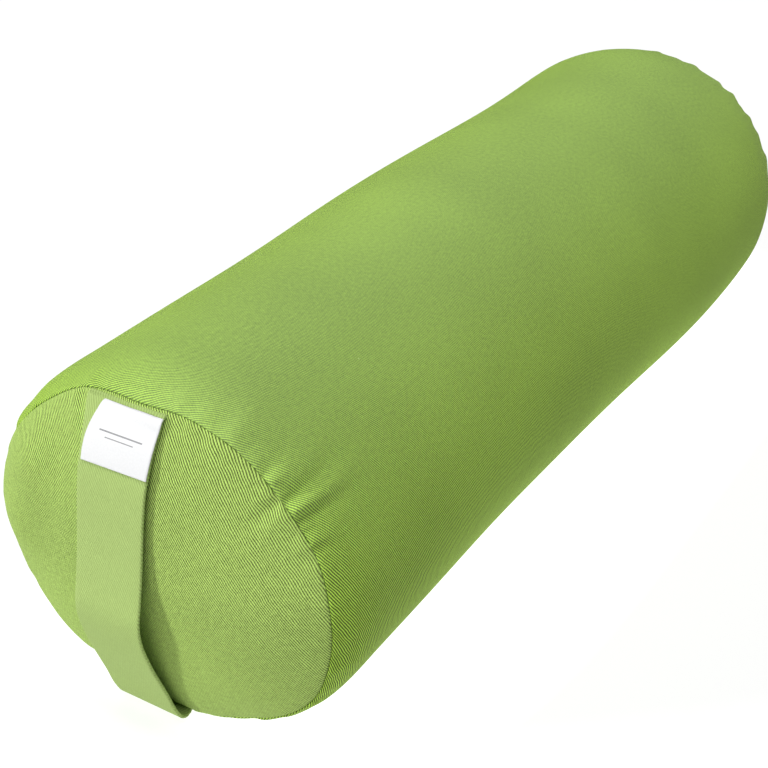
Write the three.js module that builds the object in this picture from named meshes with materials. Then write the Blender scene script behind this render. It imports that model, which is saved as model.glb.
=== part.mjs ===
// A cylindrical floor bolster: a firmly filled cloth tube with a round panel sewn into each end,
// a flat carrying strap across one end panel, and a small woven label sewn to the top of the strap.
// Units are millimetres. X runs along the bolster with the strap at -X, and Z is up.
// The origin is under the middle of the whole object, on the surface that it lies on.
import * as THREE from "three";

// Driving dimensions.
const SEAM_TO_SEAM = 638; // along X, between the seams of the two end panels
const BODY_RADIUS = 113; // mean radius of the filled tube
const SPREAD = 0.042; // how much wider than high the tube lies under its own weight
const FLOOR_DROP = 104.5; // from the tube's axis down to the surface that it rests on
const FLOOR_BLEND = 1.2; // height over which the flat underside turns up into the round
const SHOULDER = 50; // length over which the tube rounds in towards a seam
const NEAR_SEAM_RADIUS = 104.3;
const FAR_SEAM_RADIUS = 99.2;
const NEAR_CROWN = 22; // how far the strap's end panel stands out from its seam
const FAR_CROWN = 24;
const CROWN_POWER = 2.4; // 2 would be a parabola; more is flatter in the middle
const PANEL_THICKNESS = 2;
const GAP = 0.3; // between pieces that lie on each other

const STRAP_WIDTH = 44;
const STRAP_THICKNESS = 2;
const STRAP_TOP_Y = 9; // the strap's middle where it leaves the top of the seam
const STRAP_BOTTOM_Y = 14;
// The strap's outer face from its upper end to its lower one: [distance out from the seam, height].
const STRAP_ROUTE = [
  [4.2, 97],
  [9.3, 88.5],
  [16.4, 76],
  [23.5, 51],
  [29.2, 26],
  [33, 0],
  [34, -16],
  [31.5, -34],
  [25.3, -53],
  [14.2, -79],
  [5.6, -96.5],
];
const LABEL_WIDTH = 38.5;
const LABEL_HEIGHT = 28;
const LABEL_THICKNESS = 1;
const LABEL_FROM_TOP = 4; // from the strap's upper end to the label's top edge

// How finely the pieces are faceted.
const AROUND = 60;
const CROWN_RINGS = 7;
const SHOULDER_RINGS = 6;
const MIDDLE_RINGS = 11;
const STRAP_STEPS = 48;

const LIME = { color: 0x9cbf5c, roughness: 0.92, metalness: 0 };
const LIME_STRAP = { color: 0xa6c873, roughness: 0.9, metalness: 0 };
const WHITE = { color: 0xf4f5f6, roughness: 0.55, metalness: 0 };

const nearSeamX = -SEAM_TO_SEAM / 2;
const farSeamX = SEAM_TO_SEAM / 2;

// A bell curve of height 1 at centre, falling away over width.
const bell = (u, centre, width) => Math.exp(-(((u - centre) / width) ** 2));

// The tube's radius at x, before its cross-section is spread: the mean radius, a soft hollow a third
// of the way along, a fuller far end, and a shoulder that rounds in to each seam.
function tubeRadius(x) {
  const along = (x - nearSeamX) / SEAM_TO_SEAM;
  const full = BODY_RADIUS - 1.5 * bell(along, 0.3, 0.12) + 1.6 * bell(along, 0.92, 0.07);
  const nearDepth = Math.max(0, 1 - (x - nearSeamX) / SHOULDER);
  const farDepth = Math.max(0, 1 - (farSeamX - x) / SHOULDER);
  const nearDrop = (BODY_RADIUS - NEAR_SEAM_RADIUS) * nearDepth ** 3.8;
  const farDrop = (BODY_RADIUS - FAR_SEAM_RADIUS) * farDepth ** 1.9;
  return full - nearDrop - farDrop;
}

// The tube's axis wanders a little: it bows towards -Y three quarters of the way along.
function axisAt(x) {
  const along = (x - nearSeamX) / SEAM_TO_SEAM;
  return { y: 1.4 - 5.4 * bell(along, 0.77, 0.13), z: 1.2 * bell(along, 0.5, 0.2) };
}

// Height above the flat underside, rounded off where the two meet.
function onFloor(z) {
  const above = z + FLOOR_DROP;
  if (above <= -FLOOR_BLEND) return -FLOOR_DROP;
  if (above >= FLOOR_BLEND) return z;
  return -FLOOR_DROP + (above + FLOOR_BLEND) ** 2 / (4 * FLOOR_BLEND);
}

// One ring of points: the spread cross-section of the given radius, around the axis at axisX.
function ring(x, radius, axisX = x) {
  const axis = axisAt(axisX);
  return Array.from({ length: AROUND }, (_, i) => {
    const angle = (2 * Math.PI * i) / AROUND;
    const y = axis.y + radius * (1 + SPREAD) * Math.cos(angle);
    const z = axis.z + radius * (1 - SPREAD) * Math.sin(angle);
    return [x, y, onFloor(z)];
  });
}

// A closed mesh through rings of equal length, in order along +X, closed by a pole or an inner
// ring at each end. With loop set, the last ring joins the first.
function skin(rings, { firstPole, lastPole, loop = false } = {}) {
  const points = rings.flat();
  const faces = [];
  const count = rings[0].length;
  const spans = loop ? rings.length : rings.length - 1;
  for (let r = 0; r < spans; r++) {
    const near = r * count;
    const far = ((r + 1) % rings.length) * count;
    for (let i = 0; i < count; i++) {
      const next = (i + 1) % count;
      faces.push(near + i, near + next, far + i, far + i, near + next, far + next);
    }
  }
  const fan = (pole, start, flip) => {
    const tip = points.push(pole) - 1;
    for (let i = 0; i < count; i++) {
      const next = (i + 1) % count;
      faces.push(...(flip ? [tip, start + i, start + next] : [tip, start + next, start + i]));
    }
  };
  if (firstPole) fan(firstPole, 0, false);
  if (lastPole) fan(lastPole, (rings.length - 1) * count, true);
  const geometry = new THREE.BufferGeometry();
  geometry.setAttribute("position", new THREE.Float32BufferAttribute(points.flat(), 3));
  geometry.setIndex(faces);
  geometry.computeVertexNormals();
  return geometry;
}

// The rings of an end's crown from near its pole out to its seam. side is -1 at the strap's end
// and +1 at the far end, and inset is how deep under the panel's outer face the rings lie.
function crownRings(side, seamRadius, crown, inset) {
  const seamX = side < 0 ? nearSeamX : farSeamX;
  return Array.from({ length: CROWN_RINGS }, (_, k) => {
    const t = Math.sqrt((k + 1) / CROWN_RINGS);
    const x = seamX + side * (crown * (1 - t ** CROWN_POWER) - inset);
    return ring(x, t * seamRadius, seamX);
  });
}

function crownPole(side, crown, inset) {
  const seamX = side < 0 ? nearSeamX : farSeamX;
  const axis = axisAt(seamX);
  return [seamX + side * (crown - inset), axis.y, axis.z];
}

// The filled tube with its two crowned ends, which the panels lie on.
function bodyGeometry() {
  const inset = PANEL_THICKNESS + GAP;
  const stations = [];
  for (let k = 0; k < SHOULDER_RINGS; k++) {
    stations.push(nearSeamX + inset + (SHOULDER - inset) * (k / SHOULDER_RINGS) ** 1.5);
  }
  for (let k = 0; k <= MIDDLE_RINGS; k++) {
    stations.push(nearSeamX + SHOULDER + ((SEAM_TO_SEAM - 2 * SHOULDER) * k) / MIDDLE_RINGS);
  }
  for (let k = SHOULDER_RINGS - 1; k >= 0; k--) {
    stations.push(farSeamX - inset - (SHOULDER - inset) * (k / SHOULDER_RINGS) ** 1.5);
  }
  const tube = stations.map((x) => ring(x, tubeRadius(x)));
  const nearCrown = crownRings(-1, NEAR_SEAM_RADIUS, NEAR_CROWN, inset);
  const farCrown = crownRings(1, FAR_SEAM_RADIUS, FAR_CROWN, inset).reverse();
  return skin([...nearCrown, ...tube, ...farCrown], {
    firstPole: crownPole(-1, NEAR_CROWN, inset),
    lastPole: crownPole(1, FAR_CROWN, inset),
  });
}

// A round end panel: one crowned layer of cloth with a plain edge at the seam.
function panelGeometry(side, seamRadius, crown) {
  const outer = crownRings(side, seamRadius, crown, 0);
  const inner = crownRings(side, seamRadius, crown, PANEL_THICKNESS);
  const outerPole = crownPole(side, crown, 0);
  const innerPole = crownPole(side, crown, PANEL_THICKNESS);
  if (side < 0) {
    return skin([...outer, ...inner.reverse()], { firstPole: outerPole, lastPole: innerPole });
  }
  return skin([...inner, ...outer.reverse()], { firstPole: innerPole, lastPole: outerPole });
}

// The strap's route in the X-Z plane, as evenly spaced stations with the outward direction at each.
function strapStations() {
  const route = new THREE.CatmullRomCurve3(
    STRAP_ROUTE.map(([out, z]) => new THREE.Vector3(nearSeamX - out, 0, z)),
    false,
    "centripetal",
  );
  const length = route.getLength();
  return Array.from({ length: STRAP_STEPS + 1 }, (_, k) => {
    const share = k / STRAP_STEPS;
    const point = route.getPointAt(share);
    const along = route.getTangentAt(share);
    return {
      point,
      out: new THREE.Vector3(along.z, 0, -along.x),
      y: STRAP_TOP_Y + (STRAP_BOTTOM_Y - STRAP_TOP_Y) * share,
      fromTop: share * length,
    };
  });
}

// A flat band along some of the strap's stations, between two heights over its outer face.
function bandGeometry(stations, width, low, high) {
  const rings = stations.map(({ point, out, y }) => {
    const corner = (side, height) => [
      point.x + out.x * height,
      y + (side * width) / 2,
      point.z + out.z * height,
    ];
    return [corner(-1, low), corner(-1, high), corner(1, high), corner(1, low)];
  });
  const middle = (four) => [0, 1, 2].map((axis) => four.reduce((sum, p) => sum + p[axis], 0) / 4);
  return skin(rings, { firstPole: middle(rings[0]), lastPole: middle(rings.at(-1)) });
}

function mesh(name, geometry, finish) {
  const made = new THREE.Mesh(geometry, new THREE.MeshStandardMaterial(finish));
  made.name = name;
  return made;
}

const stations = strapStations();
const stationAt = (fromTop) => Math.round(fromTop / stations[1].fromTop);
const labelStations = stations.slice(
  stationAt(LABEL_FROM_TOP),
  stationAt(LABEL_FROM_TOP + LABEL_HEIGHT) + 1,
);

const bolster = new THREE.Group();
bolster.add(mesh("body", bodyGeometry(), LIME));
bolster.add(mesh("end_panel_near", panelGeometry(-1, NEAR_SEAM_RADIUS, NEAR_CROWN), LIME));
bolster.add(mesh("end_panel_far", panelGeometry(1, FAR_SEAM_RADIUS, FAR_CROWN), LIME));
bolster.add(mesh("handle", bandGeometry(stations, STRAP_WIDTH, -STRAP_THICKNESS, 0), LIME_STRAP));
bolster.add(
  mesh("label", bandGeometry(labelStations, LABEL_WIDTH, GAP, GAP + LABEL_THICKNESS), WHITE),
);

// The bolster stands on its origin: under the middle of its box, at the height of its flat underside.
const box = new THREE.Box3().setFromObject(bolster);
const middle = box.getCenter(new THREE.Vector3());
bolster.position.set(-middle.x, -middle.y, -box.min.z);

export default bolster;
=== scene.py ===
"""A lime green cylindrical bolster: a filled twill tube with a round panel sewn into each end, a
carrying strap across one end and a small plain label. Everything is in metres, in the frame's own axes:
X runs along the bolster with the strap at -X, and Z is up from the surface that it lies on."""

import math

import bpy
import numpy as np
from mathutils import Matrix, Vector


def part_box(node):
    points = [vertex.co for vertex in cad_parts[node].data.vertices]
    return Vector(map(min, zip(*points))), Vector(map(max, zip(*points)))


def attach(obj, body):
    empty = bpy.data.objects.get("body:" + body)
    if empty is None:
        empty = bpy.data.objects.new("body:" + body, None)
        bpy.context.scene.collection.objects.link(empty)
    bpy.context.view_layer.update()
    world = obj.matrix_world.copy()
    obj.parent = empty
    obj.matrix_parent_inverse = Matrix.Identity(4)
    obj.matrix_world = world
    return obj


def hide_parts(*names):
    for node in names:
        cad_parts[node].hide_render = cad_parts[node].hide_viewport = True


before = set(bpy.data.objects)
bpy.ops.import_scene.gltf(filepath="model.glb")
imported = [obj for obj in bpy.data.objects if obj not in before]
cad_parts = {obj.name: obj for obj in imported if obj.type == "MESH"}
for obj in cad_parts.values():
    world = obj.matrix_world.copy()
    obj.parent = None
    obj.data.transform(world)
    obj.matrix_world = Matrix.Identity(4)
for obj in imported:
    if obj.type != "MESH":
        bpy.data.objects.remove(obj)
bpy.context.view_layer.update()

MM = 0.001

# ---------------------------------------------------------------- sizes taken from the frame
PANEL = 2 * MM  # thickness of an end panel, as in the CAD
near_low, near_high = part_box("end_panel_near")
far_low, far_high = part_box("end_panel_far")
NEAR_X = near_high.x - PANEL
FAR_X = far_low.x + PANEL
LENGTH = FAR_X - NEAR_X
SPREAD = 0.042  # how much wider than high the tube lies
NEAR_RADIUS = (near_high.y - near_low.y) / 2 / (1 + SPREAD)
FAR_RADIUS = (far_high.y - far_low.y) / 2 / (1 + SPREAD) - 0.6 * MM
NEAR_CROWN = NEAR_X - near_low.x
FAR_CROWN = far_high.x - FAR_X
CROWN_POWER = 2.4
AXIS_BOW = 7 * MM
AXIS_Y = (near_high.y + near_low.y) / 2
AXIS_Z = (near_high.z + near_low.z) / 2
BODY_RADIUS = 113 * MM
SHOULDER = 50 * MM  # how far from a seam the tube narrows towards it
NEAR_SHOULDER_POWER, FAR_SHOULDER_POWER = 3.8, 1.9
FLOOR_BLEND = 1.2 * MM  # the height over which flat turns into round, above and below the surface

# ---------------------------------------------------------------- camera
# Azimuth and elevation that the bolster is seen from, how far the middle of the view lies left of and
# below the middle of the tube, and how far away the camera stands.
AZIMUTH, ELEVATION = math.radians(-58.25), math.radians(30.85)
VIEW_LEFT, VIEW_DOWN, DISTANCE = 50.2 * MM, 44.7 * MM, 1.0521
VIEW_SIDE = -1.4 * MM  # along Y, from the middle of the near seam
LENS = 72.44  # focal length in mm


def make_camera():
    back = Vector((math.sin(AZIMUTH) * math.cos(ELEVATION),
                   -math.cos(AZIMUTH) * math.cos(ELEVATION),
                   math.sin(ELEVATION)))
    right = Vector((math.cos(AZIMUTH), math.sin(AZIMUTH), 0))
    up = back.cross(right)
    middle = Vector(((NEAR_X + FAR_X) / 2, AXIS_Y + VIEW_SIDE, AXIS_Z))
    data = bpy.data.cameras.new("camera")
    data.lens = LENS
    data.clip_start = 0.01
    camera = bpy.data.objects.new("camera", data)
    camera.location = middle - right * VIEW_LEFT - up * VIEW_DOWN + back * DISTANCE
    camera.rotation_mode = "QUATERNION"
    camera.rotation_quaternion = back.to_track_quat("Z", "Y")
    bpy.context.collection.objects.link(camera)
    bpy.context.scene.camera = camera


make_camera()


# ---------------------------------------------------------------- the tube's plain shape
def bell(u, centre, width):
    """A bell curve: exp(-((u - centre) / width) squared)."""
    return np.exp(-(((u - centre) / width) ** 2))


def tube_radius(x):
    """Mean radius less a soft hollow in the nearer half and a narrow one by the far seam, and less a
    power-law shoulder at each seam, which is much rounder at the far one."""
    along = (x - NEAR_X) / LENGTH
    full = BODY_RADIUS - 1.5 * MM * bell(along, 0.3, 0.12) - 1.2 * MM * bell(along, 0.955, 0.04)
    near = np.clip(1 - (x - NEAR_X) / SHOULDER, 0, 1)
    far = np.clip(1 - (FAR_X - x) / SHOULDER, 0, 1)
    return (full - (BODY_RADIUS - NEAR_RADIUS) * near**NEAR_SHOULDER_POWER
            - (BODY_RADIUS - FAR_RADIUS) * far**FAR_SHOULDER_POWER)


def axis_at(x):
    """The tube's axis: it bows towards -Y three quarters of the way along and rises at the middle."""
    along = (x - NEAR_X) / LENGTH
    return AXIS_Y - AXIS_BOW * bell(along, 0.78, 0.19), AXIS_Z + 1.2 * MM * bell(along, 0.5, 0.2)


def on_floor(z):
    """Height kept above the surface: flat below it, and a parabola where flat and round meet."""
    eased = (z + FLOOR_BLEND) ** 2 / (4 * FLOOR_BLEND)
    return np.where(z <= -FLOOR_BLEND, 0, np.where(z >= FLOOR_BLEND, z, eased))


def ring_point(x, radius, angle):
    """A point of a spread cross-section: y = axis + r (1 + s) cos a, z = axis + r (1 - s) sin a."""
    axis_y, axis_z = axis_at(x)
    y = axis_y + radius * (1 + SPREAD) * np.cos(angle)
    z = axis_z + radius * (1 - SPREAD) * np.sin(angle)
    return np.stack(np.broadcast_arrays(x, y, z), axis=-1)


def normals_of(points):
    """Unit normals of a grid whose columns run once round: the cross product of its two slopes."""
    along = np.gradient(points, axis=0)
    around = (np.roll(points, -1, axis=1) - np.roll(points, 1, axis=1)) / 2
    normal = np.cross(along, around)
    return normal / np.maximum(np.linalg.norm(normal, axis=-1, keepdims=True), 1e-12)


# ---------------------------------------------------------------- meshes
def make_mesh(name, points, quads, triangles, cloth_uv=None, seam_uv=None):
    """A smooth-shaded object from whole arrays: points, faces, and two UV maps in metres for each
    corner, the place on the cloth and the place beside a seam."""
    mesh = bpy.data.meshes.new(name)
    loops = np.concatenate([quads.ravel(), triangles.ravel()])
    sizes = np.concatenate([np.full(len(quads), 4), np.full(len(triangles), 3)])
    starts = np.concatenate([[0], np.cumsum(sizes)[:-1]])
    mesh.vertices.add(len(points))
    mesh.loops.add(len(loops))
    mesh.polygons.add(len(sizes))
    mesh.vertices.foreach_set("co", np.asarray(points, np.float32).ravel())
    mesh.loops.foreach_set("vertex_index", loops.astype(np.int32))
    mesh.polygons.foreach_set("loop_start", starts.astype(np.int32))
    for layer_name, uv in (("cloth", cloth_uv), ("seam", seam_uv)):
        if uv is not None:
            layer = mesh.uv_layers.new(name=layer_name)
            layer.data.foreach_set("uv", np.asarray(uv, np.float32).ravel())
    mesh.update(calc_edges=True)
    mesh.validate()
    mesh.shade_smooth()
    piece = bpy.data.objects.new(name, mesh)
    bpy.context.collection.objects.link(piece)
    return piece


def closed_faces(rows, columns):
    """Faces of a grid whose columns run once round and whose points are followed by two poles: the
    quads between its rows, and a fan of triangles from each pole to the first or the last row."""
    start = np.arange(rows - 1)[:, None] * columns
    c = np.arange(columns)
    following = (c + 1) % columns
    a, b = start + c, start + following
    quads = np.stack([a, b, b + columns, a + columns], axis=-1).reshape(-1, 4)
    last, pole = (rows - 1) * columns, np.full(columns, rows * columns)
    first_fan = np.stack([pole, following, c], axis=-1)
    last_fan = np.stack([pole + 1, last + c, last + following], axis=-1)
    return quads, np.concatenate([first_fan, last_fan])


def corner_places(along, columns, radius):
    """The place of each quad's corners, as along of its row and the distance round at a radius. The
    last column ends at the full girth, so no quad spans the whole map."""
    r, c = np.meshgrid(np.arange(len(along) - 1), np.arange(columns), indexing="ij")
    turn = 2 * math.pi / columns
    corners = ((r, c), (r, c + 1), (r + 1, c + 1), (r + 1, c))
    return np.stack([np.stack([along[i], j * turn * radius], -1) for i, j in corners], 2).reshape(-1, 2)


# ---------------------------------------------------------------- how the seams pull the cloth
# One fold: the angle round the seam in degrees, how deep it is in mm, its half-width and length in mm,
# and how far it leans round the seam, in mm over its length.
NEAR_TUBE_FOLDS = [
    (117, 1.1, 4.0, 42, -5), (131.5, 2.4, 2.0, 12, 0), (133, 1.8, 3.6, 50, -2), (141.5, 4.2, 2.9, 85, 2),
    (151, 2.2, 2.6, 26, 3), (159, 0.6, 5.0, 48, 5), (172, 0.5, 4.0, 26, 2), (100, 0.7, 3.0, 22, -3),
    (107, 0.5, 3.0, 20, 0), (69, 0.9, 3.0, 26, 2), (77, 0.6, 3.0, 20, 0), (45, 0.9, 4.0, 30, 0),
    (32, 1.1, 3.6, 28, 0), (12, 0.8, 4.0, 26, 0), (196, 0.6, 4.0, 26, 0), (214, 0.9, 3.2, 22, 0),
    (236, 0.9, 4.0, 26, 0), (262, 0.7, 3.4, 22, 0), (290, 0.9, 4.0, 28, 0), (318, 0.8, 3.6, 26, 0),
    (341, 0.8, 3.8, 26, 0),
]
NEAR_PANEL_FOLDS = [
    (137, 2.0, 3.2, 34, 6), (147, 0.8, 3.0, 16, 4), (156, 0.8, 3.0, 16, 3), (122, 0.5, 3.6, 24, 0),
    (68, 1.3, 2.6, 30, -6), (74, 0.8, 2.2, 24, -5), (102, 0.7, 2.6, 20, 4), (110, 0.6, 3.0, 22, 3),
    (40, 0.8, 3.6, 24, 0), (20, 0.7, 4.0, 22, 0), (176, 0.4, 4.0, 20, 0), (206, 0.6, 3.4, 16, 0),
    (228, 0.8, 3.6, 20, 0), (300, 0.8, 3.6, 22, 0), (330, 0.7, 3.6, 22, 0),
]
FAR_TUBE_FOLDS = [
    (68, 1.6, 2.6, 24, 0), (91, 1.4, 3.0, 30, 2), (109, 1.9, 3.4, 34, 0), (122, 0.7, 2.8, 20, 0),
    (130, 1.8, 3.2, 34, 0), (143, 1.4, 3.0, 30, 0), (151, 0.8, 2.6, 20, 0), (162, 1.5, 3.4, 36, 0),
    (178, 1.0, 3.4, 26, 0), (196, 1.3, 3.4, 30, 0), (52, 1.0, 3.0, 22, 0), (34, 1.4, 3.2, 28, 0),
    (16, 1.0, 3.2, 24, 0), (216, 1.2, 3.4, 26, 0), (240, 1.4, 3.6, 28, 0), (268, 1.0, 3.4, 24, 0),
    (296, 1.4, 3.6, 28, 0), (322, 1.3, 3.4, 28, 0), (345, 1.1, 3.2, 24, 0),
]
FAR_PANEL_FOLDS = [
    (angle + 4, 0.7 * depth, width, 0.8 * length, 0) for angle, depth, width, length, _ in FAR_TUBE_FOLDS
]
# Random seeds of each seam: for its wander, and for the gathers on the flank and on the panel.
NEAR_SEEDS, FAR_SEEDS = (3, 11, 21), (8, 12, 22)


def stitched_down(away):
    """How freely the cloth lifts: 0.15 at the stitching, and 1 a few millimetres from it."""
    return 1 - 0.85 * np.exp(-away / (1.5 * MM))


def folds_depth(angle, away, radius, folds):
    """Sum over the folds of depth * fade(away) * trough(q), where q is the distance round the seam from
    the fold's own leaning line over its width, and the trough -exp(-q^2) has a low ridge on each side."""
    depth = np.zeros(np.broadcast(angle, away).shape)
    for degrees, deep, width, length, lean in folds:
        run = away / (length * MM)
        turn = (angle - math.radians(degrees) + math.pi) % (2 * math.pi) - math.pi
        across = turn * radius - lean * MM * run
        q = across / (width * MM * (1 + 1.3 * run))
        trough = -np.exp(-(q**2)) + 0.42 * (np.exp(-((q - 1.9) ** 2)) + np.exp(-((q + 1.9) ** 2)))
        depth += deep * MM * trough * np.clip(1 - run, 0, 1) ** 1.6
    return depth * stitched_down(away)


def gathers(angle, away, seed, height):
    """Fine uneven ripples round a seam: a sum of waves with whole numbers of turns, fading from it."""
    random = np.random.default_rng(seed)
    total = np.zeros(np.broadcast(angle, away).shape)
    for waves, reach in ((23, 30), (37, 22), (52, 16), (71, 11), (97, 8)):  # turns, and mm from the seam
        phase = random.uniform(0, 2 * math.pi)
        total += random.uniform(0.6, 1) * np.sin(waves * angle + phase) * np.exp(-away / (reach * MM))
    return height * total / 3 * stitched_down(away)


def body_grid(columns):
    """The flank's points: rows bunch up towards each seam, where the cloth bends most."""
    edge = np.array([0, 0.2, 0.4, 0.65, 0.95, 1.35, 1.9, 2.7, 3.8, 5.3, 7.3, 10, 13.2]) * MM
    step = 5.2 * MM
    count = int((LENGTH - 2 * edge[-1]) / step)
    middle = np.linspace(edge[-1], LENGTH - edge[-1], count)[1:-1]
    x = NEAR_X + np.concatenate([edge, middle, LENGTH - edge[::-1]])
    angle = np.arange(columns) * 2 * math.pi / columns
    return x[:, None], angle[None, :]


# How far the near seam lies inside its oval, in mm, as bells of the angle: (degrees, mm, half-width).
# It is drawn straight where the strap's ends are sewn in, and stands out a little beside them.
NEAR_OUTLINE = [
    (89.5, 3.0, 10.5), (66, -1.6, 8), (119, -1.7, 10), (212, -2.4, 16), (277, 1.8, 15), (245, 2.0, 14),
    (320, -3.2, 22),
]
SEAM_REACH, WANDER_REACH = 9 * MM, 30 * MM  # how far from a seam its outline and its wander are felt


def seam_pull(angle):
    """How far the near seam is drawn in: the sum of its outline's bells."""
    at = np.degrees(angle)
    return sum(depth * MM * bell(at, degrees, width) for degrees, depth, width in NEAR_OUTLINE)


def seam_shift(angle, seed):
    """How far a seam wanders along X: slow waves, under a millimetre."""
    random = np.random.default_rng(seed)
    total = 0
    for waves in (3, 5, 8, 13):
        total = total + 0.35 * MM * np.sin(waves * angle + random.uniform(0, 2 * math.pi))
    return total


STITCH = 4.8 * MM  # the stitches' pitch round a seam
GROOVE, ROLL = 1.0 * MM, 0.7 * MM  # the sharp dip at the stitching and the soft roll into it
# The seams' dips point into the filling, half way between the flank's slope and the panel's.
DIP_ALONG, DIP_IN = 0.74, 0.67


def groove(away):
    """How deep the cloth is drawn into a seam: a dip over half a millimetre and a roll over five."""
    return GROOVE * np.exp(-away / (0.55 * MM)) + ROLL * np.exp(-away / (4.5 * MM))


def draw_in(points, away, side, seam_x):
    """Moves points into a seam, along X and towards the tube's axis, by the groove's depth."""
    axis_y, axis_z = axis_at(seam_x)
    spoke = points[..., 1:] - [axis_y, axis_z]
    spoke /= np.maximum(np.linalg.norm(spoke, axis=-1, keepdims=True), 1e-9)
    depth = np.broadcast_to(groove(away), points.shape[:-1])
    moved = points.copy()
    moved[..., 0] -= side * DIP_ALONG * depth
    moved[..., 1:] -= DIP_IN * depth[..., None] * spoke
    if side < 0:  # the near rim as a whole is that much fuller, so the drawn-in seam keeps its place
        fuller = DIP_IN * (GROOVE + ROLL) * np.exp(-((away / (35 * MM)) ** 2)) * np.ones(depth.shape)
        moved[..., 1:] += fuller[..., None] * spoke
    return moved


def tube_points(x, angle):
    """The flank before its seams are drawn in: the plain tube, moved along its normals by the folds
    and gathers at both ends."""
    from_near, from_far = x - NEAR_X, FAR_X - x
    pull = seam_pull(angle) * np.exp(-from_near / SEAM_REACH)
    points = ring_point(x, tube_radius(x) - pull, angle)
    points[..., 0] += seam_shift(angle, NEAR_SEEDS[0]) * np.exp(-from_near / WANDER_REACH)
    points[..., 0] += seam_shift(angle, FAR_SEEDS[0]) * np.exp(-from_far / WANDER_REACH)
    rise = folds_depth(angle, from_near, NEAR_RADIUS, NEAR_TUBE_FOLDS)
    rise += folds_depth(angle, from_far, FAR_RADIUS, FAR_TUBE_FOLDS)
    rise += gathers(angle, from_near, NEAR_SEEDS[1], 0.2 * MM)
    rise += gathers(angle, from_far, FAR_SEEDS[1], 0.35 * MM)
    return points + normals_of(points) * rise[..., None]


def panel_points(t, angle, side):
    """An end panel before its seam is drawn in: a dome whose height over the seam is
    crown (1 - t^p), moved along X by its folds and gathers. t runs from 0 at its middle to 1."""
    seam_x, radius, crown, folds, seeds = PANELS[side]
    away = (1 - t) * radius
    pull = seam_pull(angle) * np.exp(-away / SEAM_REACH) if side < 0 else 0
    points = ring_point(seam_x, t * (radius - pull), angle)
    rise = crown * (1 - t**CROWN_POWER) + folds_depth(angle, away, radius, folds)
    rise = rise + gathers(angle, away, seeds[2], 0.16 * MM)
    if side < 0:
        rise = rise + PUFF * bell(np.cos(angle - PUFF_ANGLE), 1, 0.14) * bell(t, 0.84, 0.16)
    points[..., 0] += seam_shift(angle, seeds[0]) * np.exp(-away / WANDER_REACH) + side * rise
    return points


PUFF, PUFF_ANGLE = 7.5 * MM, math.radians(15)  # the near panel stands out more by its rim on its +Y side
# For the end on each side along X: its seam's place and radius, its dome's height, its folds and seeds.
PANELS = {
    -1: (NEAR_X, tube_radius(NEAR_X), NEAR_CROWN, NEAR_PANEL_FOLDS, NEAR_SEEDS),
    1: (FAR_X, tube_radius(FAR_X), FAR_CROWN, FAR_PANEL_FOLDS, FAR_SEEDS),
}


# ---------------------------------------------------------------- filling the cover
def resample(grid, at):
    """A grid's rows at fractional row numbers, by Catmull-Rom weights over four rows."""
    base = np.clip(np.floor(at).astype(int), 0, len(grid) - 2)
    t = (at - base).reshape((-1,) + (1,) * (grid.ndim - 1))
    before, first, second, after = (grid[np.clip(base + k, 0, len(grid) - 1)] for k in (-1, 0, 1, 2))
    return 0.5 * (2 * first + (second - before) * t + (2 * before - 5 * first + 4 * second - after) * t**2
                  + (3 * first - before - 3 * second + after) * t**3)


def round_again(grid, columns):
    """A grid whose columns run once round, given more columns through its Fourier series."""
    series = np.fft.rfft(grid, axis=1)
    return np.fft.irfft(series, n=columns, axis=1) * (columns / grid.shape[1])


FILL_COLUMNS = 180
FILL_FRAMES = 20
FILL_CAP = 4 * MM  # the most that a point may move
FLANK_CLOSE = 60 * MM  # within this of a seam the trial's flank has closer rows
PANEL_SHARES = (0.06, 0.16, 0.27, 0.38, 0.48, 0.57, 0.65, 0.72, 0.78, 0.835, 0.88, 0.92, 0.96)
HELD_BY_SEAM, HELD_BY_FLOOR = 0.1 * MM, 1.5 * MM  # how near to either a point is held
# How far from a seam the cloth is slack, how much wider it is cut there, and its steps of weight.
SLACK_REACH, SLACK_SHARE, SLACK_STEPS = 28 * MM, 0.1, 16


def blow_up(piece, held, slack):
    """Runs the cloth simulation on a piece, held where held is true, with slack from 0 to 1 saying how
    much wider the cloth is cut, and gives its points after the last frame."""
    held_group = piece.vertex_groups.new(name="held")
    held_group.add(np.flatnonzero(held).tolist(), 1.0, "REPLACE")
    slack_group = piece.vertex_groups.new(name="slack")
    steps = np.round(slack * SLACK_STEPS).astype(int)
    for step in range(1, SLACK_STEPS + 1):
        slack_group.add(np.flatnonzero(steps == step).tolist(), step / SLACK_STEPS, "REPLACE")

    cloth = piece.modifiers.new("cloth", "CLOTH")
    cloth.settings.quality = 6
    cloth.settings.mass = 0.3
    cloth.settings.tension_stiffness = cloth.settings.compression_stiffness = 15
    cloth.settings.shear_stiffness = 5
    cloth.settings.bending_stiffness = 0.5
    cloth.settings.use_pressure = True
    cloth.settings.uniform_pressure_force = 4
    cloth.settings.effector_weights.gravity = 0
    cloth.settings.vertex_group_mass = "held"
    cloth.settings.vertex_group_shrink = "slack"
    cloth.settings.shrink_min = 0.0
    cloth.settings.shrink_max = -SLACK_SHARE
    cloth.collision_settings.use_collision = False
    cloth.point_cache.frame_start, cloth.point_cache.frame_end = 1, FILL_FRAMES
    scene = bpy.context.scene
    first_frame = scene.frame_current
    for frame_number in range(1, FILL_FRAMES + 1):
        scene.frame_set(frame_number)
    filled = piece.evaluated_get(bpy.context.evaluated_depsgraph_get()).data
    end = np.empty(len(filled.vertices) * 3, np.float32)
    filled.vertices.foreach_get("co", end)
    mesh = piece.data
    bpy.data.objects.remove(piece)
    bpy.data.meshes.remove(mesh)
    scene.frame_set(first_frame)
    return end.reshape(-1, 3)


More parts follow.
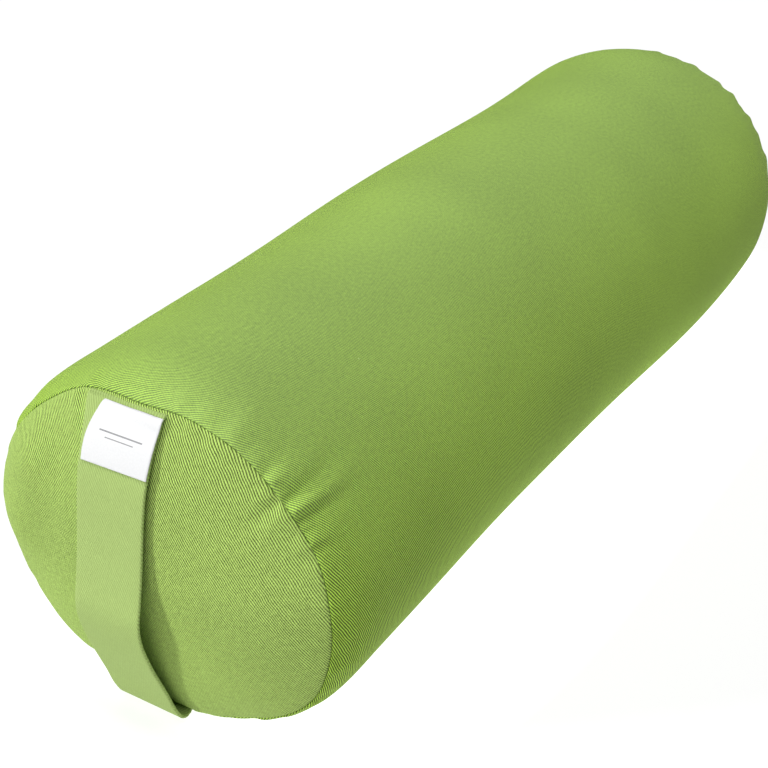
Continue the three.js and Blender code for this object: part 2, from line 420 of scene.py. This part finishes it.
def fill_cover():
    """Blows the sewn cover up as cloth: a coarse closed copy of it, held at both seams and where it
    rests, with slack cloth beside each seam and pressure inside. Each ring's mean swelling is taken
    off again, so the bolster keeps its size, and what is left, capped, is how the cloth crumples. Gives
    those moves for the flank and for each panel, with the rows that they belong to."""
    near_rows = np.linspace(0, FLANK_CLOSE, 16)
    middle = np.linspace(FLANK_CLOSE, LENGTH - FLANK_CLOSE, 58)[1:-1]
    x = (NEAR_X + np.concatenate([near_rows, middle, LENGTH - near_rows[::-1]]))[:, None]
    angle = (np.arange(FILL_COLUMNS) * 2 * math.pi / FILL_COLUMNS)[None, :]
    t = np.array(PANEL_SHARES)[:, None]
    flank = tube_points(x, angle)
    near, far = panel_points(t, angle, -1), panel_points(t, angle, 1)
    grid = np.concatenate([near, flank, far[::-1]])
    grid[..., 2] = on_floor(grid[..., 2])
    rows = len(grid)
    tips = [[NEAR_X - NEAR_CROWN, *axis_at(NEAR_X)], [FAR_X + FAR_CROWN, *axis_at(FAR_X)]]
    start = np.concatenate([grid.reshape(-1, 3), tips])
    piece = make_mesh("filling_trial", start, *closed_faces(rows, FILL_COLUMNS))

    from_seam = np.concatenate([
        (1 - t[:, 0]) * NEAR_RADIUS,
        np.minimum(x[:, 0] - NEAR_X, FAR_X - x[:, 0]),
        (1 - t[::-1, 0]) * FAR_RADIUS,
    ])
    from_seam = np.append(np.repeat(from_seam, FILL_COLUMNS), [NEAR_RADIUS, FAR_RADIUS])
    held = (from_seam < HELD_BY_SEAM) | (start[:, 2] < HELD_BY_FLOOR)
    end = blow_up(piece, held, np.exp(-from_seam / SLACK_REACH))

    moved = (end - start)[:-len(tips)].reshape(rows, FILL_COLUMNS, 3)
    spokes = np.stack(np.broadcast_arrays(0 * angle, np.cos(angle), np.sin(angle)), axis=-1)
    moved -= (moved * spokes).sum(-1, keepdims=True).mean(1, keepdims=True) * spokes
    moved[..., 0] -= moved[..., 0].mean(1, keepdims=True)
    size = np.linalg.norm(moved, axis=-1, keepdims=True)
    moved *= FILL_CAP * np.tanh(size / FILL_CAP) / np.maximum(size, 1e-9)
    ends = len(t)
    seam_row = np.zeros((1, FILL_COLUMNS, 3))
    return {
        0: (x[:, 0], moved[ends:-ends]),
        -1: (np.append(t[:, 0], 1), np.concatenate([moved[:ends], seam_row])),
        1: (np.append(t[:, 0], 1), np.concatenate([moved[-ends:][::-1], seam_row])),
    }


def crumple(which, at, columns):
    """The filled cover's moves for the flank (0) or a panel (-1 or 1), at the given rows."""
    if filled_moves is None:
        return 0
    rows, moves = filled_moves[which]
    return round_again(resample(moves, np.interp(at, rows, np.arange(len(rows)))), columns)


filled_moves = fill_cover()


HIDDEN_SHARES = (0.975, 0.95, 0.85, 0.65, 0.35)  # the hidden rings, as shares of the flank's end
HIDDEN_CLEAR = 2.5 * MM  # how far they lie under the panel's inner face


def build_body(columns=540):
    """The filled tube: the flank with its seams drawn in, closed at each end by a plain crown that
    lies under the end panel."""
    x, angle = body_grid(columns)
    points = tube_points(x, angle) + crumple(0, x[:, 0], columns)
    points = draw_in(points, x - NEAR_X, -1, NEAR_X)
    points = draw_in(points, FAR_X - x, 1, FAR_X)
    points[..., 2] = on_floor(points[..., 2])

    # The hidden crowns: rings drawn in from each end of the flank, well under the panel's inner face.
    sink = PANEL + HIDDEN_CLEAR
    crowns, poles = [], []
    for side, edge in ((-1, points[0]), (1, points[-1])):
        seam_x, _, crown = PANELS[side][:3]
        centre = np.array([seam_x, *axis_at(seam_x)])
        rings = np.stack([centre + (edge - centre) * share for share in HIDDEN_SHARES])
        for ring, share in zip(rings, HIDDEN_SHARES):
            ring[:, 0] = seam_x + side * (crown * (1 - share**CROWN_POWER) - sink)
        crowns.append(rings)
        poles.append(centre + [side * (crown - sink), 0, 0])
    grid = np.concatenate([crowns[0][::-1], points, crowns[1]])
    quads, triangles = closed_faces(len(grid), columns)
    # A hidden ring has the place of the flank's end, and nothing of the fans shows.
    along = x[np.clip(np.arange(len(grid)) - len(HIDDEN_SHARES), 0, len(x) - 1), 0]
    beside = np.minimum(along - NEAR_X, FAR_X - along)
    spare = np.zeros((len(triangles) * 3, 2))
    cloth_uv = np.concatenate([corner_places(along - NEAR_X, columns, BODY_RADIUS), spare])
    seam_uv = np.concatenate([corner_places(beside, columns, NEAR_RADIUS), spare])
    every = np.concatenate([grid.reshape(-1, 3), poles])
    return make_mesh("tube", every, quads, triangles, cloth_uv, seam_uv)


def build_panel(name, side, columns, rings):
    """A round end panel, one layer 2 mm thick: its outer face is the drawn-in dome and its inner face
    lies behind it along X. Rings bunch up towards the seam."""
    seam_x, radius, crown = PANELS[side][:3]
    angle = (np.arange(columns) * 2 * math.pi / columns)[None, :]
    t = (1 - (1 - np.linspace(0, 1, rings + 1)[1:]) ** 2.1)[:, None]
    away = (1 - t) * radius
    points = panel_points(t, angle, side) + crumple(side, t[:, 0], columns)
    outer = draw_in(points, away, side, seam_x)
    centre = np.array([seam_x + side * crown, *axis_at(seam_x)])
    inner = outer.copy()
    inner[..., 0] -= side * (PANEL - 0.8 * MM * np.exp(-away / (2 * MM)))
    inner_centre = centre - [side * PANEL, 0, 0]
    faces = [(outer, centre), (inner, inner_centre)][::-side]  # in the order that faces outward
    grid = np.concatenate([faces[0][0], faces[1][0][::-1]])
    every = np.concatenate([grid.reshape(-1, 3), [faces[0][1], faces[1][1]]])
    quads, triangles = closed_faces(len(grid), columns)
    flat = np.stack([t * radius * np.cos(angle), t * radius * np.sin(angle)], axis=-1)
    place = np.concatenate([np.concatenate([flat, flat[::-1]]).reshape(-1, 2), np.zeros((2, 2))])
    cloth_uv = place[np.concatenate([quads.ravel(), triangles.ravel()])]
    beside = np.concatenate([away[:, 0], away[::-1, 0]])
    far_off = np.full((len(triangles) * 3, 2), radius)
    seam_uv = np.concatenate([corner_places(beside, columns, NEAR_RADIUS), far_off])
    return make_mesh(name, every, quads, triangles, cloth_uv, seam_uv)


# ---------------------------------------------------------------- the strap and its label
STRAP_WIDTH = 44 * MM
STRAP_THICK = 2 * MM
WIDER, FLARE = 8.5 * MM, 20 * MM  # how much wider its left side is at the upper end, and over what length
DROOP, DROOP_REACH = 2.6 * MM, 14 * MM  # how far the wide corner drops along the round seam, and how soon
TWIST = math.radians(1.5)  # how far its middle turns about the upright
TOOTH, TEETH = 0.2 * MM, 1.8 * MM  # its woven edges: how far a tooth stands out, and the pitch
# The strap's outer face from its upper end to its lower one, in mm: how far it stands out from the near
# seam, its height over the tube's axis, and how far its middle lies to the +Y side. It lies on the panel
# down to the panel's middle, hangs clear of it below, and turns under to the lower end.
STRAP_ROUTE = np.array([
    (-2.0, 95.6, 7.2), (0.5, 96.6, 7.3), (2.6, 96.2, 7.5), (4.8, 94.3, 7.8), (7.6, 88.5, 8.6),
    (13.5, 76, 9.5), (19.4, 60, 10.2),
    (22.6, 44, 10.7), (24.8, 28, 11.1), (27.0, 12, 11.4), (30.0, -4, 11.5), (32.8, -18, 11.5),
    (32.3, -30, 11.4), (29.3, -42, 11.2), (25.5, -54, 10.9), (21.0, -66, 10.6), (16.6, -78, 10.2),
    (13.0, -89, 9.8), (8.4, -98.3, 9.4), (4.6, -101.2, 9.2), (1.0, -101.0, 9.0), (-2.5, -98.8, 9.0),
]) * MM


def smooth_route(points, count):
    """Evenly spaced points on a Catmull-Rom curve through the given ones, and its length."""
    fine = resample(np.concatenate([[2 * points[0] - points[1]], points, [2 * points[-1] - points[-2]]]),
                    np.linspace(1, len(points), 40 * len(points)))
    along = np.concatenate([[0], np.cumsum(np.linalg.norm(np.diff(fine, axis=0), axis=1))])
    at = np.linspace(0, along[-1], count)
    return np.stack([np.interp(at, along, fine[:, k]) for k in range(3)], axis=1), along[-1]


def strap_frame(count):
    """Along the strap: its outer face's middle, the outward and sideways directions, and its length."""
    route, length = smooth_route(STRAP_ROUTE, count)
    middle = np.stack([NEAR_X - route[:, 0], AXIS_Y + route[:, 2], AXIS_Z + route[:, 1]], axis=1)
    along = np.gradient(middle, axis=0)
    along /= np.linalg.norm(along, axis=1, keepdims=True)
    share = np.linspace(0, 1, count)
    twist = TWIST * np.sin(math.pi * share)
    across = np.stack([np.sin(twist), np.cos(twist), 0 * share], axis=1)
    across -= along * (across * along).sum(1, keepdims=True)
    across /= np.linalg.norm(across, axis=1, keepdims=True)
    out = np.cross(along, across)
    out *= np.sign(-out[count // 2, 0])
    return middle, out, across, length


def flat_section(edge, faces, arc):
    """Once round a flat band with round edges, as a share of its half width and half thickness: the
    right edge's half circle, the outer face, the left edge and the inner face. edge is the half
    circle's radius as a share of the half width."""
    bend = np.linspace(-math.pi / 2, math.pi / 2, arc + 2)[1:-1]
    face = np.linspace(1 - edge, edge - 1, faces)
    y = np.concatenate([1 - edge + edge * np.cos(bend), face, edge - 1 - edge * np.cos(bend), -face])
    z = np.concatenate([np.sin(bend), np.ones(faces), -np.sin(bend), -np.ones(faces)])
    return y, z


def band_mesh(name, points, side, along):
    """A band's mesh from its sections, with a flat end at each end; its UV is the distance along it
    and across it."""
    every = np.concatenate([points.reshape(-1, 3), [points[0].mean(0), points[-1].mean(0)]])
    quads, triangles = closed_faces(*points.shape[:2])
    uv = np.stack(np.broadcast_arrays(along, side), axis=-1).reshape(-1, 2)
    uv = np.concatenate([uv, uv[:1], uv[-1:]])
    return make_mesh(name, every, quads, triangles, uv[np.concatenate([quads.ravel(), triangles.ravel()])])


def build_strap(stations=1000):
    """The strap and its length: a flat section carried along its route, wider at its upper end, with
    small teeth along both edges where the weft turns back."""
    middle, out, across, length = strap_frame(stations)
    along = np.linspace(0, length, stations)[:, None]
    y, z = flat_section(STRAP_THICK / STRAP_WIDTH, 20, 5)
    half = STRAP_WIDTH / 2 + np.where(y > 0, WIDER, 0) * np.exp(-along / FLARE)
    tooth = TOOTH * np.abs(np.sin(math.pi * along / TEETH)) * (np.abs(y) > 0.9)
    side = y * half + np.sign(y) * tooth
    lift = (z - 1) * STRAP_THICK / 2
    points = middle[:, None] + across[:, None] * side[..., None] + out[:, None] * lift[None, :, None]
    points[..., 2] -= DROOP * np.clip(side / (30 * MM), 0, 1) ** 2 * np.exp(-along / DROOP_REACH)
    return band_mesh("strap", points, side, along), length


# The label's corners on the strap's outer face, in mm: the distance from the strap's upper end and from
# its middle. It is sewn on a little askew, with its right side along the strap's edge.
LABEL_LEFT = np.array([(7.7, 14.8), (41.1, 20.6)]) * MM
LABEL_RIGHT = np.array([(4.4, -22.6), (38.5, -22.1)]) * MM
LABEL_THICK, LABEL_CLEAR = 0.7 * MM, 0.2 * MM  # the second keeps it off the strap's face
LABEL_BULGE = 2.6 * MM  # how far its left side bows out
LABEL_WIDTH, LABEL_HEIGHT = 40 * MM, 33.7 * MM


def build_label(stations=70):
    """The label: a thin flat section on the strap, each point placed between the four corners."""
    middle, out, across, length = strap_frame(900)
    at = np.linspace(0, length, len(middle))
    down = np.linspace(0, 1, stations)[:, None, None]
    y, z = flat_section(0.5 * LABEL_THICK / LABEL_WIDTH, 44, 3)
    share = (y[None, :, None] + 1) / 2
    left = LABEL_LEFT[0] + (LABEL_LEFT[1] - LABEL_LEFT[0]) * down
    left = left + [0, LABEL_BULGE] * (4 * down * (1 - down))
    right = LABEL_RIGHT[0] + (LABEL_RIGHT[1] - LABEL_RIGHT[0]) * down
    place = right + (left - right) * share

    def here(rows):
        return np.stack([np.interp(place[..., 0], at, rows[:, k]) for k in range(3)], -1)

    lift = LABEL_CLEAR + (z + 1) * LABEL_THICK / 2
    points = here(middle) + here(across) * place[..., 1:] + here(out) * lift[None, :, None]
    side = (share[..., 0] - 0.5) * LABEL_WIDTH
    return band_mesh("woven_label", points, side, down[:, :, 0] * LABEL_HEIGHT)


# ---------------------------------------------------------------- shader arithmetic
class Wire:
    """A value inside a material, which ordinary arithmetic extends with Math nodes."""

    def __init__(self, paint, socket):
        self.paint, self.socket = paint, socket

    def __add__(self, other):
        return self.paint.math("ADD", self, other)

    def __sub__(self, other):
        return self.paint.math("SUBTRACT", self, other)

    def __rsub__(self, other):
        return self.paint.math("SUBTRACT", other, self)

    def __mul__(self, other):
        return self.paint.math("MULTIPLY", self, other)

    def __truediv__(self, other):
        return self.paint.math("DIVIDE", self, other)

    def __pow__(self, other):
        return self.paint.math("POWER", self, other)

    def output(self, number):
        """Another output of the node that this value comes from."""
        return Wire(self.paint, self.socket.node.outputs[number])


class Paint:
    """A material, with methods that add its nodes."""

    def __init__(self, name, **constants):
        self.material = bpy.data.materials.new(name)
        self.material.use_nodes = True
        self.nodes = self.material.node_tree.nodes
        self.links = self.material.node_tree.links
        self.surface = self.nodes["Principled BSDF"]
        for socket, value in constants.items():
            self.surface.inputs[socket.replace("_", " ")].default_value = value

    def node(self, kind, settings=None, inputs=None, output=0):
        made = self.nodes.new("ShaderNode" + kind)
        for name, value in (settings or {}).items():
            setattr(made, name, value)
        for name, value in (inputs or {}).items():
            self.feed(made.inputs[name], value)
        return Wire(self, made.outputs[output])

    def feed(self, socket, value):
        if isinstance(value, Wire):
            self.links.new(value.socket, socket)
        else:
            socket.default_value = value

    def math(self, operation, *values):
        return self.node("Math", {"operation": operation}, dict(enumerate(values)))

    def mix(self, share, first, second):
        """A colour from first to second as share goes from 0 to 1."""
        return self.node("Mix", {"data_type": "RGBA"}, {0: share, 6: first, 7: second}, output=2)

    def ramp(self, value, low, high, at_low, at_high):
        """Smoothly from at_low, where value is low or less, to at_high, where it is high or more."""
        return self.node("MapRange", {"interpolation_type": "SMOOTHSTEP"}, {
            "Value": value, "From Min": low, "From Max": high, "To Min": at_low, "To Max": at_high})

    def noise(self, vector, scale, detail=2.0, roughness=0.5):
        return self.node("TexNoise", {}, {"Vector": vector, "Scale": scale, "Detail": detail,
                                          "Roughness": roughness})

    def finish(self, **wires):
        for socket, wire in wires.items():
            self.feed(self.surface.inputs[socket.replace("_", " ")], wire)
        return self.material


def places(paint, layer):
    """A UV map, and its two coordinates in metres."""
    place = paint.node("UVMap", {"uv_map": layer})
    u = paint.node("SeparateXYZ", {}, {0: place})
    return place, u, u.output(1)


LIME_PALE = (0.66, 0.78, 0.42, 1)
# A paler, duller lime that the top is tinted towards: painted sheen haze where the overhead light falls,
# which also dims it a little.
LIME_PAINTED_HAZE = (0.44, 0.58, 0.33, 1)
# The painted shadow in a seam's groove, drawn as a dark line along its stitching.
SEAM_PAINTED_SHADOW = (0.08, 0.14, 0.02, 1)
LEAST_RIB_SHADING = 0.3  # the share of the ribs' painted shading and bump that is left on the painted-light band's line


def twill(name, shades, pitch, slope, contrast, depth, seam=False, painted_light_band=None):
    """Twill: ribs at a slope in degrees across the cloth, each rib a row of short slanting floats. The
    ribs wander a little, and their light and shade is painted into the colour: the shade between a lit
    rib's colour and a shaded furrow's also has slow patches, fibre noise and a few specks of lint. A cloth
    with a seam has a painted shadow line in its seam's groove, thicker at each stitch, where the bump
    also sinks. Where painted_light_band gives a place across the cloth, a reach and a share, the ribs'
    painted shading and bump are flattened along that line, standing for the weaker rib light and shade
    there, and the colour is tinted by that share towards a painted sheen haze; both are as elsewhere past
    the reach."""
    lit_rib_colour, shaded_furrow_colour = shades
    paint = Paint(name, Roughness=0.85, Sheen_Weight=0.04, Sheen_Roughness=0.5, Specular_IOR_Level=0.12,
                  Sheen_Tint=(0.93, 1.0, 0.8, 1))
    place, u, v = places(paint, "cloth")
    wander = (paint.noise(place, 30.0, 2.0) - 0.5) * 0.35 + (paint.noise(place, 120.0, 1.0) - 0.5) * 1.1
    step_u, step_v = math.cos(math.radians(slope)) / pitch, math.sin(math.radians(slope)) / pitch
    across = (u * step_u + v * step_v) + wander
    along = v * step_u - u * step_v
    rib = paint.math("SINE", across * (2 * math.pi)) * 0.5 + 0.5
    floats = paint.math("SINE", along * (2 * math.pi * 0.8) + across * math.pi) * 0.5 + 0.5
    weave = rib * 0.86 + floats * 0.14
    # Painted light: near the band's line the ribs' painted shading and their bump are flattened, standing
    # for the weaker rib light and shade there.
    if painted_light_band:
        line, reach, painted_haze = painted_light_band
        full = paint.ramp(paint.math("ABSOLUTE", v - line), 0.0, reach, LEAST_RIB_SHADING, 1.0)
        weave = (weave - 0.5) * full**0.5 + 0.5
    fibre = paint.noise(place, 1400.0, 2.0, 0.6)
    grain = paint.noise(place, 380.0, 2.0, 0.6)
    patch = paint.noise(place, 9.0, 3.0)
    shade = (weave - 0.5) * contrast + (fibre - 0.5) * 0.6 + (grain - 0.5) * 0.4 + (patch - 0.5) * 0.3 + 0.5
    shade = paint.node("Clamp", {}, {"Value": shade})
    cloth = paint.mix(shade, shaded_furrow_colour, lit_rib_colour)
    # Painted light: towards the band's line the colour is tinted to the painted sheen haze.
    if painted_light_band:
        cloth = paint.mix((1 - full) * painted_haze, cloth, LIME_PAINTED_HAZE)
    from_speck = paint.node("TexVoronoi", {"feature": "F1"}, {"Vector": place, "Scale": 26.0})
    chance = paint.node("TexWhiteNoise", {"noise_dimensions": "3D"}, {"Vector": from_speck.output(2)})
    lint = paint.math("LESS_THAN", from_speck, 0.02) * paint.math("GREATER_THAN", chance, 0.7)
    cloth = paint.mix(lint * 0.8, cloth, LIME_PALE)
    height = weave + fibre * 0.35
    if seam:
        _, beside, around = places(paint, "seam")
        knot = paint.math("SINE", around * (2 * math.pi / STITCH)) * 0.5 + 0.5
        width = knot * (0.12 * MM) + 0.26 * MM
        # Painted shadow: a dark line along the seam's groove, wider at each stitch, where the bump also
        # sinks.
        stitching = paint.node("Clamp", {}, {"Value": (width - beside) / (0.4 * MM)})
        cloth = paint.mix(stitching * 0.75, cloth, SEAM_PAINTED_SHADOW)
        height = height - knot * 0.7 * paint.math("EXPONENT", beside * (-1 / (1.2 * MM)))
    bump = paint.node("Bump", {}, {"Strength": 0.8, "Distance": depth, "Height": height})
    return paint.finish(Base_Color=cloth, Normal=bump)


def satin(name):
    """A woven satin label: fine crosswise threads, and two plain grey woven lines in place of a mark."""
    paint = Paint(name, Roughness=0.42, Sheen_Weight=0.2, Specular_IOR_Level=0.5)
    place, u, v = places(paint, "cloth")
    threads = paint.math("SINE", u * (2 * math.pi / (0.45 * MM))) * 0.5 + 0.5
    grain = paint.noise(place, 900.0, 2.0)

    def line(centre, half_height, half_width):
        inside = paint.math("LESS_THAN", paint.math("ABSOLUTE", u - centre), half_height)
        return inside * paint.math("LESS_THAN", paint.math("ABSOLUTE", v), half_width)

    mark = paint.math("MAXIMUM", line(15.5 * MM, 0.42 * MM, 13 * MM), line(18.6 * MM, 0.28 * MM, 8.5 * MM))
    white = paint.mix(grain, (0.62, 0.625, 0.63, 1), (0.70, 0.705, 0.71, 1))
    colour = paint.mix(mark * 0.85, white, (0.09, 0.09, 0.1, 1))
    bump = paint.node("Bump", {}, {"Strength": 0.2, "Distance": 0.1 * MM, "Height": threads})
    return paint.finish(Base_Color=colour, Normal=bump)


def painted_rib_shading(red, blue, light, dark):
    """A cloth's lit rib and shaded furrow colours, the weave's light and shade painted in: green at light
    and dark, with red and blue as shares of it.
    """
    return (red * light, light, blue * light, 1), (red * dark, dark, 0.9 * blue * dark, 1)


# Each cloth's ribs are painted lighter and its furrows darker: the twill pattern with its own light and
# shade painted into the colour.
side_cloth = twill("side_cloth", painted_rib_shading(0.635, 0.125, 0.82, 0.075), 1.15 * MM, -25, contrast=1.4,
                   # The side cloth's painted-light band runs along the top with some haze; the near panel's
                   # runs along its bottom, with none.
                   depth=0.4 * MM, seam=True, painted_light_band=(1.85 * BODY_RADIUS, 1.35 * BODY_RADIUS, 0.3))
panel_cloth = twill("panel_cloth", painted_rib_shading(0.70, 0.235, 0.84, 0.10), 1.25 * MM, -33.5, contrast=1.05,
                    depth=0.45 * MM, seam=True, painted_light_band=(-1.02 * NEAR_RADIUS, 1.7 * NEAR_RADIUS, 0.0))
strap_cloth = twill("strap_cloth", painted_rib_shading(0.74, 0.33, 0.575, 0.37), 1.45 * MM, 56, contrast=0.8,
                    depth=0.2 * MM)
label_cloth = satin("label_cloth")

# ---------------------------------------------------------------- the pieces
tube = build_body()
near_panel = build_panel("near_panel", -1, 480, 64)
far_panel = build_panel("far_panel", 1, 360, 56)
strap, strap_length = build_strap()
label = build_label()

for piece, material in ((tube, side_cloth), (near_panel, panel_cloth), (far_panel, panel_cloth),
                        (strap, strap_cloth), (label, label_cloth)):
    piece.data.materials.append(material)
    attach(piece, "root")

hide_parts("body")
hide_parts("end_panel_near")
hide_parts("end_panel_far")
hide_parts("handle")
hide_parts("label")


# ---------------------------------------------------------------- floor and light
FLOOR_HALF = 6
FLOOR_GLOW = 1.3  # at the bolster; half of it further off
PATCH_X, PATCH_HALF = 0.05, (0.385, 0.185)  # the bright patch: its middle along X, and its half sizes
KEY_PLACE, KEY_AIM = Vector((-2.15, 1.8, 0.95)), Vector((-0.3, 0, 0.1))


def make_floor():
    """A white floor that glows a little, most within a rounded patch at the bolster, where
    x^4 + y^4 is below 1."""
    mesh = bpy.data.meshes.new("floor")
    corners = [(x * FLOOR_HALF, y * FLOOR_HALF, 0) for x, y in ((-1, -1), (1, -1), (1, 1), (-1, 1))]
    mesh.from_pydata(corners, [], [(0, 1, 2, 3)])
    floor = bpy.data.objects.new("floor", mesh)
    bpy.context.collection.objects.link(floor)
    paint = Paint("floor_white", Base_Color=(0.36, 0.36, 0.36, 1), Roughness=0.9, Specular_IOR_Level=0.1,
                  Emission_Strength=FLOOR_GLOW)
    x = paint.node("SeparateXYZ", {}, {0: paint.node("TexCoord", {}, {}, output=3)})
    x, y = (x - PATCH_X) * (1 / PATCH_HALF[0]), x.output(1) * (1 / PATCH_HALF[1])
    off_middle = paint.math("ABSOLUTE", x) ** 4.0 + paint.math("ABSOLUTE", y) ** 4.0
    inside = paint.ramp(off_middle, 0.55, 1.0, 1.0, 0.0)
    glow = paint.mix(inside, (0.5, 0.5, 0.5, 1), (1, 1, 1, 1))
    mesh.materials.append(paint.finish(Emission_Color=glow))


def add_light(name, kind, place, towards, **settings):
    """A light at a place, whose beam comes from the direction given by towards."""
    data = bpy.data.lights.new(name, kind)
    for setting, value in settings.items():
        setattr(data, setting, value)
    light = bpy.data.objects.new(name, data)
    light.location = place
    light.rotation_mode = "QUATERNION"
    light.rotation_quaternion = Vector(towards).to_track_quat("Z", "Y")
    bpy.context.collection.objects.link(light)


make_floor()
add_light("overhead", "SUN", (0, 0, 0), (-0.2, -0.05, 1), angle=math.radians(34), energy=2.9)
add_light("key", "AREA", KEY_PLACE, KEY_PLACE - KEY_AIM, shape="DISK", size=0.42, energy=48)
world = bpy.data.worlds.new("studio")
world.use_nodes = True
world.node_tree.nodes["Background"].inputs["Color"].default_value = (1, 1, 1, 1)
world.node_tree.nodes["Background"].inputs["Strength"].default_value = 0.01
bpy.context.scene.world = world
bpy.context.scene.view_settings.view_transform = "Standard"
